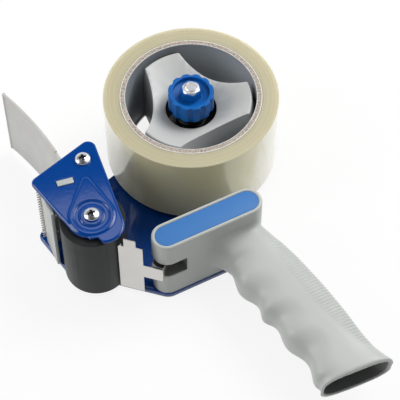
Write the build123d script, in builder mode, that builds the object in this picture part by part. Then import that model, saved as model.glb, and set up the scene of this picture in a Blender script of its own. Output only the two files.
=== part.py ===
from build123d import *
from math import asin, atan2, copysign, cos, degrees, pi, radians, sin, sqrt, tan
import os

# A hand-held dispenser for packing tape, lying on its side with the roll's axis upright.
# The frame's origin is the hub axis on the surface that the base plate rests on.

# The roll that the dispenser takes
tape_width = 50.0
roll_diameter = 102.0
core_bore = 76.2
core_wall = 3.2

# Clearances
running = 0.05
axial_play = 0.1
seat_gap = 0.1
roll_play = 3.0

# Side plates, pressed from sheet with a turned-down rim
sheet = 1.5
base_rim = 2.0
cover_rim = 0.9
press_radius = 1.3
corner_radius = 4.0

# Roller, its axle and the screws in the plates
roller_x = -54.0
roller_y = -84.0
roller_diameter = 36.4
roller_core_diameter = 28.0
roller_gap = 0.5
sleeve_round = 0.6
core_rib_count = 6
core_rib = 1.8
core_skin = 2.0
bush_diameter = 15.0
bush_length = 9.0
bush_collar = 0.9
axle_diameter = 8.0
screw_diameter = 4.0
screw_head_diameter = 8.6
screw_head_height = 2.6
head_edge_share = 0.45
low_head_height = 1.7
low_head_diameter = 9.0
screw_length = 12.0

# Spacer post between the plates, placed from the roller's axis
spacer_from_roller_x = -6.5
spacer_from_roller_y = 37.6
spacer_diameter = 9.0

# Plan of the plates: the corners, and the lobes round the roller, the hub and the handle's post
corner_past_blade = 0.3
corner_side = 4.6
base_margin = 0.4
roller_lobe_radius = 15.0
hub_lobe_radius = 19.5
web_radius = 10.0
web_shift_x = 8.0
web_shift_y = 2.0
apex_from_spacer_x = 2.35
apex_from_spacer_y = 8.55
apex_radius = 4.7
cover_disc_radius = 13.9
lobe_from_roller_x = 6.7
lobe_from_roller_y = -5.9
cover_lobe_radius = 11.5
lobe_cut_bearing = -74.6
lobe_cut_clear = 0.5
lobe_cut_angle = -47.8
lobe_cut_fan = 60.0

# Raised tear shape on the cover, with a sunk ring round the axle's screw
emboss_height = 0.5
emboss_taper = 30.0
tear_from_roller_x = -4.3
tear_from_roller_y = 23.4
tear_tip_radius = 2.0
tear_radius = 12.6
ring_radius = 10.2
ring_depth = 0.8
boss_radius = 6.6

# Hub on its stud
stud_diameter = 6.0
stud_head_diameter = 16.0
stud_chamfer = 0.5
hub_flange_diameter = 88.0
hub_flange = 2.0
hub_tip_top = 53.8
hub_tip_radius = 35.2
hub_neck_radius = 22.0
hub_lobe_angle = 19.0
hub_turn = 1.5
hub_wall = 2.6
hub_round = 0.9
hub_cavity_diameter = 30.0
hub_cavity_floor = 26.0
hub_dish_angle = 24.7
hub_fit = 0.4
hub_taper_start = 0.72
thrust_washer_diameter = 28.0
thrust_washer = 0.9

# Brake: spring, washers, knob and lock nut on the stud
washer_diameter = 24.0
washer_thickness = 1.2
spring_wire = 1.6
spring_diameter = 18.0
spring_coils = 4.5
knob_stand = 3.9
knob_diameter = 26.8
knob_height = 11.6
knob_round = 0.6
knob_scallops = 12
knob_scallop_depth = 0.9
knob_scallop_share = 0.42
knob_dish_depth = 2.8
knob_rim = 2.6
knob_well_radius = 7.4
knob_well_depth = 0.6
nut_across_flats = 9.5
nut_turn = -16.0
nut_height = 5.0
nut_stands_out = 3.8
nut_chamfer = 0.9
nut_boss_wall = 0.6
nut_boss_sunk = 0.6
stud_stands_out = 0.4

# Handle: a post with a rounded-slot plan, placed from the roller's axis
post_from_roller_x = 40.9
post_from_roller_y = -8.55
post_length = 50.1
post_angle = 27.4
post_radius = 8.6
post_height = 47.7
post_round = 1.0
pad_rim = 2.0
pad_depth = 1.4
pad_recess = 0.3
pad_round = 0.3
post_wall = 3.0
notch_low = 18.0
notch_high = 30.3
notch_reach = 8.4
overcut = 1.0
handle_screw_length = 18.0

# Grip: a hollow moulding with finger waves, which leaves the right side of the post
grip_mid = 24.3
grip_inset = 8.8
grip_stand = 3.85
grip_angle = -53.9
grip_length = 101.5
grip_front = 16.2
grip_thickness = 24.0
grip_wall = 2.5
finger_depth = 1.25
finger_first = 20.0
palm_swell = (19.0, 19.6, 19.9, 19.8, 19.5, 18.7)
thickness_loss = 0.08
flare_length = 27.75
hollow_start = 41.0
mouth_front = 22.1
mouth_back = 22.6
mouth_thickness = 22.6
mouth_turn = 12.7
section_points = 20
section_power = 0.62

# Grip sections: place, reach to the fingers, reach to the palm, added half thickness, share of turn.
# The root's places run from the grip's start, and the flare's run back from its mouth.
grip_root = (
    (-8.0, 23.0, 15.6, 2.0, 1.0),
    (-3.0, 17.8, 16.2, 1.4, 0.5),
    (1.5, 14.9, 16.9, 1.0, 0.0),
    (9.0, 14.0, 17.8, 0.5, 0.0),
)
grip_flare = (
    (17.5, 16.4, 17.9, -0.6, 0.15),
    (8.5, 19.4, 18.8, -0.7, 0.55),
)

# Tongue: sprung steel finger that holds the tape against the roller
tongue_sheet = 0.5
tongue_from_roller_x = 14.1
tongue_from_roller_y = -12.6
tongue_angle = -16.4
tongue_width = 14.3
tongue_bottom = 1.6
tongue_shoulder = 43.6
tongue_top = 52.2
tongue_step = 46.0
tongue_notch = 1.6
arm_low = 17.6
arm_high = 29.4
arm_reach = 25.4
pin_offset = 5.0
pin_diameter = 4.0
pin_length = 41.0
tongue_rise = 3.4
tongue_crest = 7.0
eye_height = 5.0
eye_clear = 2.3
eye_sweep = 280.0
leg_inset_low = 1.2
leg_inset_high = 0.5
lap = 1.0
curl_height = 2.0
curl_reach = 10.2
curl_lap = 1.5
curl_middle_bearing = -124.0
curl_end_bearing = -144.0

# Torsion spring round the tongue's pin
spring_strip = 0.4
rest_reach = 3.2
rest_spread = 72.0
rest_hook_radius = 0.9
rest_hook_middle = 20.0
rest_hook_end = 60.0
push_reach = 9.0
push_spread = 24.0

# Blade and its holder, placed from the roller's axis
holder_from_roller_x = -15.65
holder_from_roller_y = 22.25
holder_angle = 17.6
holder_thickness = 3.6
holder_left = 13.7
holder_right = 6.5
tab_length = 9.3
tab_stands_out = 0.3
slot_gap = 0.25
guide_length = 17.1
guide_angle = -66.6
guide_thickness = 1.8
blade_sheet = 0.8
blade_margin = 0.8
blade_width = 11.5
blade_reach = 2.9
tooth_pitch = 2.4
tooth_depth = 3.0
rivet_diameter = 2.4
rivet_head = 4.2
rivet_dome = 0.9
rivet_foot = 0.7
rivet_taper = 35.0
rivet_shares = (0.18, 0.5, 0.82)

# Wiper: flexible plastic flap that presses the tape down, rooted behind the holder's bar
flap_place = 4.45
flap_stand = 1.14
flap_length = 72.4
flap_angle = 125.6
flap_bow = 3.2
flap_thickness = 1.3
flap_bead = 2.2
flap_tall_from = 20.5
flap_margin = 0.25
flap_travel = 24.0
bead_radius = 1.7
socket_wall = 1.5
socket_relief = 4.0
def polar(angle, distance):
    """The plan offset at an angle in degrees from +X."""
    return distance * cos(radians(angle)), distance * sin(radians(angle))


def along(x, y, angle, distance, side=0.0):
    """The plan point at a distance along a direction and to the left of it."""
    dx, dy = polar(angle, 1.0)
    return x + dx * distance - dy * side, y + dy * distance + dx * side


def upright(x, y, angle, level=0.0):
    """An upright plane along a direction in plan, facing to the right of it."""
    return Plane(origin=(x, y, level), x_dir=(*polar(angle, 1.0), 0), z_dir=(*polar(angle - 90, 1.0), 0))


def hull_of_circles(circles):
    """A sketch of the band stretched round circles, each given as x, y, radius."""
    with BuildSketch() as band:
        for x, y, radius in circles:
            with Locations((x, y)):
                Circle(radius)
        make_hull()
    return band.sketch


def write(part, name):
    """Label a finished piece and write it as one file."""
    part.label = name
    export_step(part, f"parts/{name}.step")


# Levels and sizes that follow from the ones above
base_top = base_rim + sheet
plate_gap = tape_width + roll_play
cover_under = base_top + plate_gap
cover_top = cover_under + sheet
under_rim = cover_under - cover_rim - axial_play
hub_bottom = base_top + thrust_washer + axial_play
roll_seat = hub_bottom + hub_flange
core_radius = core_bore / 2
core_outer = core_radius + core_wall
roller_radius = roller_diameter / 2
axle_radius = axle_diameter / 2
screw_radius = screw_diameter / 2
stud_radius = stud_diameter / 2
cavity_radius = hub_cavity_diameter / 2
dish_slope = tan(radians(hub_dish_angle))
cavity_mouth = hub_tip_top - (hub_tip_radius - cavity_radius) * dish_slope
knob_bottom = cavity_mouth + knob_stand
knob_top = knob_bottom + knob_height
nut_top = knob_top + nut_stands_out
stud_top = nut_top + stud_stands_out

# Places in plan that follow from the roller's axis
spacer_x = roller_x + spacer_from_roller_x
spacer_y = roller_y + spacer_from_roller_y
holder_x = roller_x + holder_from_roller_x
holder_y = roller_y + holder_from_roller_y
tongue_x = roller_x + tongue_from_roller_x
tongue_y = roller_y + tongue_from_roller_y
post_x = roller_x + post_from_roller_x
post_y = roller_y + post_from_roller_y
post_end_x, post_end_y = along(post_x, post_y, post_angle, post_length)
plate_corner = along(holder_x, holder_y, holder_angle, -holder_left - corner_past_blade, corner_side)
flap_x, flap_y = along(holder_x, holder_y, holder_angle, flap_place, holder_thickness / 2 + flap_stand)
grip_x, grip_y = along(
    post_x, post_y, post_angle, post_length - grip_inset, -post_radius - grip_stand
)

os.makedirs("parts", exist_ok=True)

# Base plate: blade corner, roller, hub, and the web that carries the handle
base_front = hull_of_circles([
    (*plate_corner, corner_radius),
    (roller_x, roller_y, roller_lobe_radius),
    (0, 0, hub_lobe_radius),
])
base_web = hull_of_circles([
    (roller_x + web_shift_x, roller_y + web_shift_y, web_radius),
    (post_x, post_y, post_radius + base_margin),
    (post_end_x, post_end_y, post_radius + base_margin),
    (0, 0, hub_lobe_radius),
])
slot_width = holder_thickness + 2 * slot_gap
slot_length = tab_length + 2 * slot_gap

with BuildPart() as base_plate:
    with BuildSketch(Plane.XY) as base_plan:
        add(base_front)
        add(base_web)
    extrude(amount=base_top)
    fillet(base_plate.faces().sort_by(Axis.Z)[-1].edges(), press_radius)
    with BuildSketch(Plane.XY):
        add(base_plan.sketch)
        offset(amount=-sheet, kind=Kind.ARC)
    extrude(amount=base_rim, mode=Mode.SUBTRACT)
    with Locations((0, 0)):
        Hole(stud_radius + running)
    with Locations((roller_x, roller_y), (spacer_x, spacer_y)):
        Hole(screw_radius + running)
    with Locations((post_x, post_y), (post_end_x, post_end_y)):
        Hole(screw_radius + running)
    with BuildSketch(Plane.XY):
        with Locations((holder_x, holder_y)):
            Rectangle(slot_length, slot_width, rotation=holder_angle)
    extrude(amount=base_top, mode=Mode.SUBTRACT)

# Cover plate: blade corner, apex over the spacer post, roller, and a lobe beside the roller
cover_apex = (spacer_x + apex_from_spacer_x, spacer_y + apex_from_spacer_y)
cover_lobe = (roller_x + lobe_from_roller_x, roller_y + lobe_from_roller_y)
tear_tip = (roller_x + tear_from_roller_x, roller_y + tear_from_roller_y)
cut_corner = along(roller_x, roller_y, lobe_cut_bearing, cover_disc_radius + lobe_cut_clear)
cover_main = hull_of_circles([
    (*plate_corner, corner_radius),
    (*cover_apex, apex_radius),
    (roller_x, roller_y, cover_disc_radius),
])
cover_side = hull_of_circles([(*cover_apex, apex_radius), (*cover_lobe, cover_lobe_radius)])
with BuildSketch() as lobe_cut:
    with BuildLine():
        Polyline(
            cut_corner,
            along(*cut_corner, lobe_cut_angle, roller_diameter),
            along(*cut_corner, lobe_cut_angle - lobe_cut_fan, 2 * roller_diameter),
            along(*cut_corner, lobe_cut_angle - 2 * lobe_cut_fan, roller_diameter),
            close=True,
        )
    make_face()
    add(cover_main, mode=Mode.SUBTRACT)

with BuildPart() as top_plate:
    with BuildSketch(Plane.XY.offset(cover_under)):
        add(cover_main)
        add(cover_side)
    extrude(amount=sheet)
    fillet(top_plate.faces().sort_by(Axis.Z)[-1].edges(), press_radius)
    with BuildSketch(Plane.XY.offset(cover_under)):
        add(lobe_cut.sketch)
    extrude(amount=sheet, mode=Mode.SUBTRACT)
    with BuildSketch(Plane.XY.offset(cover_under - cover_rim)):
        add(cover_main)
        offset(amount=-sheet, kind=Kind.ARC, mode=Mode.SUBTRACT)
        with Locations(cover_lobe):
            Circle(cover_lobe_radius + sheet, mode=Mode.SUBTRACT)
    extrude(amount=cover_rim)
    with BuildSketch(Plane.XY.offset(cover_top)):
        add(hull_of_circles([(*tear_tip, tear_tip_radius), (roller_x, roller_y, tear_radius)]))
    extrude(amount=emboss_height, taper=emboss_taper)
    with BuildSketch(Plane.XY.offset(cover_top + emboss_height)):
        with Locations((roller_x, roller_y)):
            Circle(ring_radius)
            Circle(boss_radius, mode=Mode.SUBTRACT)
    extrude(amount=-ring_depth, mode=Mode.SUBTRACT)
    with Locations((roller_x, roller_y, cover_top), (spacer_x, spacer_y, cover_top)):
        Hole(screw_radius + running)
    with BuildSketch(Plane.XY.offset(cover_under)):
        with Locations((holder_x, holder_y)):
            Rectangle(slot_length, slot_width, rotation=holder_angle)
    extrude(amount=sheet, mode=Mode.SUBTRACT)

# Spacer post, tapped at both ends for the plate screws
with BuildPart() as spacer_post:
    with BuildSketch(Plane.XY.offset(base_top)):
        with Locations((spacer_x, spacer_y)):
            Circle(spacer_diameter / 2)
            Circle(screw_radius + running, mode=Mode.SUBTRACT)
    extrude(amount=plate_gap)


def plate_screws(x, y, top_seat):
    """The cross-head screw on the cover and the low-head screw under the base, at one post."""
    head_top = top_seat + screw_head_height
    head_edge = top_seat + screw_head_height * head_edge_share
    with BuildPart() as pair:
        with BuildSketch(Plane.XZ.offset(-y)):
            with BuildLine():
                Line((x, top_seat - screw_length), (x, head_top))
                TangentArc((x, head_top), (x + screw_head_diameter / 2, head_edge), tangent=(1, 0))
                Polyline(
                    (x + screw_head_diameter / 2, head_edge),
                    (x + screw_head_diameter / 2, top_seat),
                    (x + screw_radius, top_seat),
                    (x + screw_radius, top_seat - screw_length),
                    (x, top_seat - screw_length),
                )
            make_face()
        revolve(axis=Axis((x, y, 0), (0, 0, 1)))
        with BuildSketch(Plane.XY.offset(base_rim - low_head_height)):
            with Locations((x, y)):
                Circle(low_head_diameter / 2)
        extrude(amount=low_head_height)
        with BuildSketch(Plane.XY.offset(base_rim)):
            with Locations((x, y)):
                Circle(screw_radius)
        extrude(amount=screw_length)
    return pair.part


spacer_screws = plate_screws(spacer_x, spacer_y, cover_top)
axle_screws = plate_screws(roller_x, roller_y, cover_top + emboss_height)

# Roller: rubber sleeve on a moulded core, which turns on two bushes round a fixed axle
roller_low = base_top + axial_play + bush_collar
roller_high = under_rim - roller_gap
roller_core_radius = roller_core_diameter / 2

with BuildPart() as roller_axle:
    with BuildSketch(Plane.XY.offset(base_top)):
        with Locations((roller_x, roller_y)):
            Circle(axle_radius)
            Circle(screw_radius + running, mode=Mode.SUBTRACT)
    extrude(amount=plate_gap)

with BuildPart() as roller_sleeve:
    with BuildSketch(Plane.XY.offset(roller_low)):
        with Locations((roller_x, roller_y)):
            Circle(roller_radius)
            Circle(roller_core_radius + running, mode=Mode.SUBTRACT)
    extrude(amount=roller_high - roller_low)
    sleeve_ends = roller_sleeve.faces().filter_by(Axis.Z)
    fillet([end.outer_wire().edges()[0] for end in sleeve_ends], sleeve_round)

with BuildPart() as roller_core:
    with BuildSketch(Plane.XY.offset(roller_low)):
        with Locations((roller_x, roller_y)):
            Circle(roller_core_radius)
            Circle(roller_core_radius - core_skin, mode=Mode.SUBTRACT)
            Circle(bush_diameter / 2 + running + core_skin)
            with PolarLocations(0, core_rib_count):
                Rectangle(roller_core_radius - core_skin / 2, core_rib, align=(Align.MIN, Align.CENTER))
            Circle(bush_diameter / 2 + running, mode=Mode.SUBTRACT)
    extrude(amount=roller_high - roller_low)

low_collar = roller_low - base_top - axial_play
high_collar = cover_under - roller_high - axial_play
with BuildPart() as roller_bushes:
    for seat, outward, collar in ((roller_low, -1, low_collar), (roller_high, 1, high_collar)):
        with BuildSketch(Plane.XY.offset(seat)):
            with Locations((roller_x, roller_y)):
                Circle(bush_diameter / 2 + core_skin)
                Circle(axle_radius + running, mode=Mode.SUBTRACT)
        extrude(amount=outward * collar)
        with BuildSketch(Plane.XY.offset(seat)):
            with Locations((roller_x, roller_y)):
                Circle(bush_diameter / 2)
                Circle(axle_radius + running, mode=Mode.SUBTRACT)
        extrude(amount=-outward * bush_length)

# Hub stud: a shouldered stud with a flat head, riveted in the base plate
with BuildPart() as hub_stud:
    with BuildSketch(Plane.XY):
        Circle(stud_head_diameter / 2)
    extrude(amount=base_rim)
    with BuildSketch(Plane.XY.offset(base_rim)):
        Circle(stud_radius)
    extrude(amount=stud_top - base_rim)
    chamfer(hub_stud.faces().sort_by(Axis.Z)[-1].edges(), stud_chamfer)

with BuildPart() as hub_thrust_washer:
    with BuildSketch(Plane.XY.offset(base_top)):
        Circle(thrust_washer_diameter / 2)
        Circle(stud_radius + running, mode=Mode.SUBTRACT)
    extrude(amount=thrust_washer)

# Hub: three lobes with hollow sides, a dished top and a flange that the core stands on
lobe_radius = core_radius - hub_fit
taper_level = roll_seat + (hub_tip_top - roll_seat) * hub_taper_start


def side_circle(trim):
    """Centre distance and radius of the arc that hollows one side, moved in by a trim."""
    reach = hub_tip_radius
    half = radians(60 - hub_lobe_angle)
    distance = (reach**2 - hub_neck_radius**2) / (2 * (reach * cos(half) - hub_neck_radius))
    return distance, distance - hub_neck_radius + trim


def lobed_plan(outer, trim):
    """The hub's plan: a disc hollowed by three arcs."""
    distance, radius = side_circle(trim)
    with BuildSketch() as plan:
        Circle(outer)
        with PolarLocations(distance, 3, start_angle=60 + hub_turn):
            Circle(radius, mode=Mode.SUBTRACT)
    return plan.sketch


def lobed_body(inset):
    """The lobed drum under its dished top, with every outer face moved in by an inset."""
    roof = inset / cos(radians(hub_dish_angle))
    with BuildPart() as body:
        with BuildSketch(Plane.XY.offset(hub_bottom)):
            add(lobed_plan(lobe_radius - inset, inset))
        extrude(amount=hub_tip_top - hub_bottom)
        with BuildSketch(Plane.XZ):
            with BuildLine():
                Polyline(
                    (0, hub_bottom),
                    (lobe_radius - inset, hub_bottom),
                    (lobe_radius - inset, taper_level),
                    (hub_tip_radius - inset, hub_tip_top - inset * dish_slope - roof),
                    (cavity_radius, cavity_mouth - roof),
                    (0, cavity_mouth - roof),
                    close=True,
                )
            make_face()
        revolve(axis=Axis.Z, mode=Mode.INTERSECT)
    return body.part


with BuildPart() as hub:
    add(lobed_body(0))
    fillet([e for e in hub.edges() if e.center().Z > hub_tip_top - hub_wall], hub_round)
    with BuildSketch(Plane.XY.offset(hub_bottom)):
        Circle(hub_flange_diameter / 2)
    extrude(amount=hub_flange)
    add(lobed_body(hub_wall), mode=Mode.SUBTRACT)
    with BuildSketch(Plane.XY.offset(hub_bottom)):
        Circle(cavity_radius + hub_wall)
    extrude(amount=cavity_mouth - hub_bottom - hub_wall / 2)
    with BuildSketch(Plane.XY.offset(hub_cavity_floor)):
        Circle(cavity_radius)
    extrude(amount=hub_tip_top - hub_cavity_floor, mode=Mode.SUBTRACT)
    with BuildSketch(Plane.XY.offset(hub_bottom)):
        Circle(bush_diameter / 2 + running)
    extrude(amount=hub_cavity_floor - hub_bottom, mode=Mode.SUBTRACT)
    with BuildSketch(Plane.XY.offset(hub_bottom)):
        Circle(cavity_radius)
        Circle(bush_diameter / 2 + hub_wall, mode=Mode.SUBTRACT)
    extrude(amount=hub_cavity_floor - hub_wall - hub_bottom, mode=Mode.SUBTRACT)

with BuildPart() as hub_bush:
    with BuildSketch(Plane.XY.offset(hub_bottom)):
        Circle(bush_diameter / 2)
        Circle(stud_radius + running, mode=Mode.SUBTRACT)
    extrude(amount=hub_cavity_floor - hub_bottom)

# Brake: the knob pushes a washer down on the spring, which loads the hub's floor
friction_seat = hub_cavity_floor + axial_play
with BuildPart() as friction_washer:
    with BuildSketch(Plane.XY.offset(friction_seat)):
        Circle(washer_diameter / 2)
        Circle(stud_radius + running, mode=Mode.SUBTRACT)
    extrude(amount=washer_thickness)

pressure_top = knob_bottom - axial_play
pressure_bottom = pressure_top - washer_thickness
with BuildPart() as pressure_washer:
    with BuildSketch(Plane.XY.offset(pressure_bottom)):
        Circle(washer_diameter / 2)
        Circle(stud_radius + running, mode=Mode.SUBTRACT)
    extrude(amount=washer_thickness)

spring_radius = (spring_diameter - spring_wire) / 2
spring_low = friction_seat + washer_thickness + seat_gap + spring_wire / 2
spring_high = pressure_bottom - seat_gap - spring_wire / 2
with BuildPart() as tension_spring:
    with BuildLine() as coil:
        Helix(
            (spring_high - spring_low) / spring_coils,
            spring_high - spring_low,
            spring_radius,
            center=(0, 0, spring_low),
        )
    with BuildSketch(Plane(coil.line @ 0, z_dir=coil.line % 0)):
        RegularPolygon(spring_wire / 2, 6)
    sweep(is_frenet=True)

scallop = pi * knob_diameter / knob_scallops * knob_scallop_share
boss_top = nut_top - nut_boss_sunk
with BuildPart() as knob:
    with BuildSketch(Plane.XY.offset(knob_bottom)):
        Circle(knob_diameter / 2)
        with PolarLocations(knob_diameter / 2 - knob_scallop_depth + scallop, knob_scallops):
            Circle(scallop, mode=Mode.SUBTRACT)
    extrude(amount=knob_height)
    fillet(knob.faces().sort_by(Axis.Z)[-1].edges(), knob_round)
    with BuildSketch(Plane.XY.offset(knob_top)):
        Circle(knob_diameter / 2 - knob_rim)
    extrude(amount=-knob_dish_depth, mode=Mode.SUBTRACT)
    with BuildSketch(Plane.XY.offset(knob_top - knob_dish_depth)):
        Circle(knob_well_radius)
    extrude(amount=-knob_well_depth, mode=Mode.SUBTRACT)
    with BuildSketch(Plane.XY.offset(knob_top - knob_dish_depth - knob_well_depth)):
        RegularPolygon(nut_across_flats / 2 + nut_boss_wall, 6, major_radius=False, rotation=nut_turn)
    extrude(amount=boss_top - knob_top + knob_dish_depth + knob_well_depth)
    with BuildSketch(Plane.XY.offset(nut_top - nut_height)):
        RegularPolygon(nut_across_flats / 2 + running, 6, major_radius=False, rotation=nut_turn)
    extrude(amount=nut_height, mode=Mode.SUBTRACT)
    with BuildSketch(Plane.XY.offset(knob_bottom)):
        Circle(stud_radius + running)
    extrude(amount=knob_height, mode=Mode.SUBTRACT)

nut_corner = nut_across_flats / sqrt(3) + running
with BuildPart() as lock_nut:
    with BuildSketch(Plane.XY.offset(nut_top - nut_height)):
        RegularPolygon(nut_across_flats / 2, 6, major_radius=False, rotation=nut_turn)
        Circle(stud_radius + running, mode=Mode.SUBTRACT)
    extrude(amount=nut_height)
    with BuildSketch(Plane.XZ):
        with BuildLine():
            Polyline(
                (0, nut_top - nut_height),
                (nut_corner, nut_top - nut_height),
                (nut_corner, nut_top - nut_chamfer),
                (nut_across_flats / 2 - nut_chamfer / 2, nut_top),
                (0, nut_top),
                close=True,
            )
        make_face()
    revolve(axis=Axis.Z, mode=Mode.INTERSECT)

# The roll of tape: cardboard core and wound tape, standing on the hub's flange
roll_low = roll_seat + axial_play
with BuildPart() as tape_core:
    with BuildSketch(Plane.XY.offset(roll_low)):
        Circle(core_outer)
        Circle(core_radius, mode=Mode.SUBTRACT)
    extrude(amount=tape_width)

with BuildPart() as tape_roll:
    with BuildSketch(Plane.XY.offset(roll_low)):
        Circle(roll_diameter / 2)
        Circle(core_outer + running, mode=Mode.SUBTRACT)
    extrude(amount=tape_width)

# Blade holder: a bar with tabs through both plates, a tape guide and a socket for the flap
bar_left = along(holder_x, holder_y, holder_angle, -holder_left)
bar_centre = along(holder_x, holder_y, holder_angle, (holder_right - holder_left) / 2)
guide_centre = along(*bar_left, guide_angle, guide_length / 2)
flap_start_angle = flap_angle - degrees(2 * atan2(2 * flap_bow, flap_length))
socket_half = degrees(asin((flap_thickness / 2 + running) / bead_radius)) + socket_relief
socket_left = flap_start_angle + socket_half
socket_right = flap_start_angle - flap_travel - socket_half
rivet_levels = [base_top + plate_gap * share for share in rivet_shares]
rivet_place = (blade_width - blade_reach) / 2 - holder_left

with BuildPart() as blade_holder:
    with BuildSketch(Plane.XY.offset(base_top)):
        with Locations(bar_centre):
            Rectangle(holder_left + holder_right, holder_thickness, rotation=holder_angle)
        with Locations((flap_x, flap_y)):
            Circle(bead_radius + running + socket_wall)
    extrude(amount=plate_gap)
    with BuildSketch(Plane.XY.offset(base_top)):
        with Locations(guide_centre):
            Rectangle(guide_length, guide_thickness, rotation=guide_angle)
    extrude(amount=under_rim - base_top)
    with BuildSketch(Plane.XY.offset(base_top)):
        with Locations((flap_x, flap_y)):
            Circle(bead_radius + running)
        with BuildLine():
            Polyline(
                (flap_x, flap_y),
                along(flap_x, flap_y, socket_right, 4 * bead_radius),
                along(flap_x, flap_y, socket_left, 4 * bead_radius),
                close=True,
            )
        make_face()
    extrude(amount=plate_gap, mode=Mode.SUBTRACT)
    with BuildSketch(Plane.XY.offset(base_rim)):
        with Locations((holder_x, holder_y)):
            Rectangle(tab_length, holder_thickness, rotation=holder_angle)
    extrude(amount=sheet)
    with BuildSketch(Plane.XY.offset(cover_under)):
        with Locations((holder_x, holder_y)):
            Rectangle(tab_length, holder_thickness, rotation=holder_angle)
    extrude(amount=sheet + tab_stands_out)
    bar_face = upright(holder_x, holder_y, holder_angle)
    with BuildSketch(bar_face):
        with Locations(*[(rivet_place, level) for level in rivet_levels]):
            Circle(rivet_diameter / 2 + running)
    extrude(amount=holder_thickness, both=True, mode=Mode.SUBTRACT)

# Blade: a toothed strip riveted to the bar's upper face
tooth_count = int((plate_gap - 2 * blade_margin) / tooth_pitch)
blade_low = base_top + (plate_gap - tooth_count * tooth_pitch) / 2
blade_high = blade_low + tooth_count * tooth_pitch
blade_side = holder_thickness / 2 + blade_sheet
tooth_tip = -holder_left - blade_reach
blade_points = [(tooth_tip + blade_width, blade_high), (tooth_tip + blade_width, blade_low)]
for tooth in range(tooth_count):
    blade_points.append((tooth_tip + tooth_depth, blade_low + tooth * tooth_pitch))
    blade_points.append((tooth_tip, blade_low + (tooth + 0.5) * tooth_pitch))
blade_points.append((tooth_tip + tooth_depth, blade_high))

with BuildPart() as blade:
    blade_plane = upright(*along(holder_x, holder_y, holder_angle, 0, blade_side), holder_angle)
    with BuildSketch(blade_plane):
        with BuildLine():
            Polyline(*blade_points, close=True)
        make_face()
        with Locations(*[(rivet_place, level) for level in rivet_levels]):
            Circle(rivet_diameter / 2 + running, mode=Mode.SUBTRACT)
    extrude(amount=blade_sheet)

rivet_length = holder_thickness + blade_sheet
with BuildPart() as blade_rivets:
    for level in rivet_levels:
        spot = along(holder_x, holder_y, holder_angle, rivet_place, blade_side)
        rivet_plane = Plane(origin=(*spot, level), z_dir=(*polar(holder_angle + 90, 1.0), 0))
        with BuildSketch(rivet_plane):
            Circle(rivet_head / 2)
        extrude(amount=rivet_dome, taper=rivet_taper)
        with BuildSketch(rivet_plane):
            Circle(rivet_diameter / 2)
        extrude(amount=-rivet_length)
        with BuildSketch(rivet_plane.offset(-rivet_length)):
            Circle(rivet_head / 2)
        extrude(amount=-rivet_foot, taper=rivet_taper)

# Wiper flap: a bowed sheet with a beaded root that turns in the holder's socket
flap_end = along(flap_x, flap_y, flap_angle, flap_length)
flap_middle = along(flap_x, flap_y, flap_angle, flap_length / 2, -flap_bow)
flap_low = base_top + flap_margin
flap_high = cover_under - flap_margin
flap_inner_high = under_rim - flap_margin
with BuildPart() as wiper_flap:
    with BuildSketch(Plane.XY.offset(flap_low)):
        with BuildLine():
            ThreePointArc((flap_x, flap_y), flap_middle, flap_end)
        trace(line_width=flap_thickness)
        with Locations(flap_end):
            Circle(flap_bead / 2)
    extrude(amount=flap_high - flap_low)
    with BuildSketch(Plane.XY.offset(flap_inner_high)):
        with Locations((flap_x, flap_y)):
            Rectangle(2 * flap_tall_from, 4 * flap_bow + flap_tall_from, rotation=flap_angle)
    extrude(amount=cover_top - flap_inner_high, mode=Mode.SUBTRACT)
    with BuildSketch(Plane.XY.offset(flap_low)):
        with Locations((flap_x, flap_y)):
            Circle(bead_radius)
    extrude(amount=flap_inner_high - flap_low)

# Handle: an upright post on the base plate and a hollow grip with finger waves
post_top = base_top + post_height
post_middle = along(post_x, post_y, post_angle, post_length / 2)
pin_spot = along(post_x, post_y, post_angle, pin_offset)
wave_high = grip_front + finger_depth
wave_low = grip_front - finger_depth


def grip_section(station, front, back, half_height, turn, inset):
    """One upright rounded section across the grip, on the builder's current plane."""
    centre = along(grip_x, grip_y, grip_angle, station, (back - front) / 2)
    half_width = (front + back) / 2 - inset
    points = []
    for step in range(section_points):
        turned = 2 * pi * step / section_points
        across = copysign(abs(cos(turned)) ** section_power, cos(turned))
        upward = copysign(abs(sin(turned)) ** section_power, sin(turned))
        points.append((half_width * across, (half_height - inset) * upward))
    with BuildSketch(upright(*centre, grip_angle + 90 + turn, grip_mid)) as section:
        with BuildLine():
            Spline(*points, periodic=True)
        make_face()
    return section.sketch


root_turn = post_angle - grip_angle - 90
grip_half = grip_thickness / 2
finger_step = (grip_length - flare_length - finger_first) / (len(palm_swell) - 1)
grip_stations = []
for place, front, back, extra, share in grip_root:
    grip_stations.append((place, front, back, grip_half + extra, share * root_turn))
for count, back in enumerate(palm_swell):
    place = finger_first + count * finger_step
    front = wave_high if count % 2 == 0 else wave_low
    grip_stations.append((place, front, back, grip_half - thickness_loss * count, 0))
for distance, front, back, extra, share in grip_flare:
    grip_stations.append((grip_length - distance, front, back, grip_half + extra, -share * mouth_turn))
grip_stations.append((grip_length, mouth_front, mouth_back, mouth_thickness / 2, -mouth_turn))
with BuildPart() as grip_hollow:
    for station in grip_stations:
        if station[0] > hollow_start:
            add(grip_section(*station, grip_wall))
    loft()

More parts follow.
